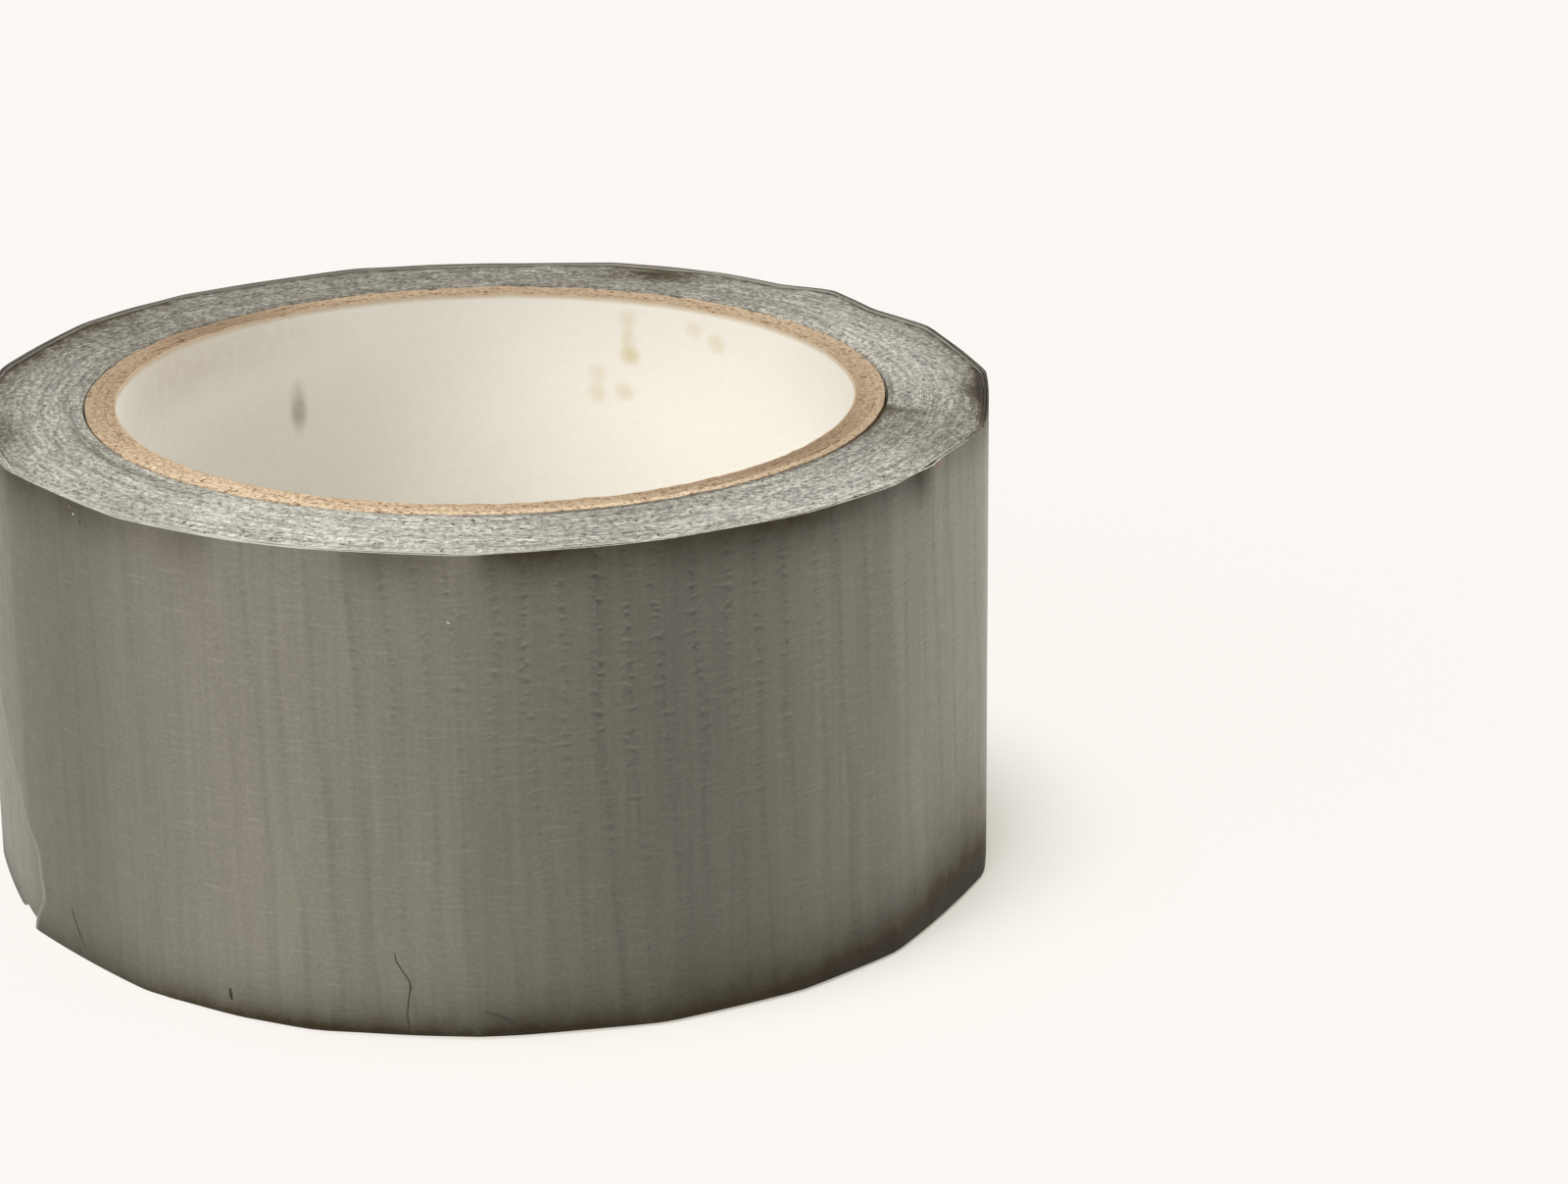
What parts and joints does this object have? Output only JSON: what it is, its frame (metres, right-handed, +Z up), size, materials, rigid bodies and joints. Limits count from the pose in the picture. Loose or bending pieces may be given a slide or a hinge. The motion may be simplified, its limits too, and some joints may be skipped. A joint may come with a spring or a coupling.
{
  "type": "roll of duct tape",
  "caption": "Roll of grey cloth-backed duct tape wound on a paper core with a white liner, with a torn free end that peels away from the roll.",
  "frame": {"origin": "on the roll's axis, at the level of the edge face that it stands on", "axes": "+Z up along the roll's axis, +X to the right and -Y towards the viewer of the picture"},
  "size_m": [0.1029, 0.1037, 0.0483],
  "materials": {
    "white_liner": "matte white paper with faint smudges",
    "kraft_board": "cut edge of kraft core board, fibrous and slightly fuzzy",
    "tape_edges": "slit edges of the wound tape, streaky grey with dust specks",
    "tape_face": "satin grey film over cloth, with the weave showing through"
  },
  "bodies": {
    "roll": {"core_liner": "white_liner", "core_inner_ply": "kraft_board", "core_middle_ply": "kraft_board", "core_outer_ply": "kraft_board", "wound_tape": "tape_edges", "outer_turns": "tape_face"},
    "free_end": {"tape_end": "tape_face"}
  },
  "joints": [
    {"name": "free_end_peel", "type": "hinge", "parent": "roll", "child": "free_end", "pos_m": [-0.02923, -0.04334, 0.0243], "axis": [0, 0, 1], "range_deg": [0, 150]}
  ]
}
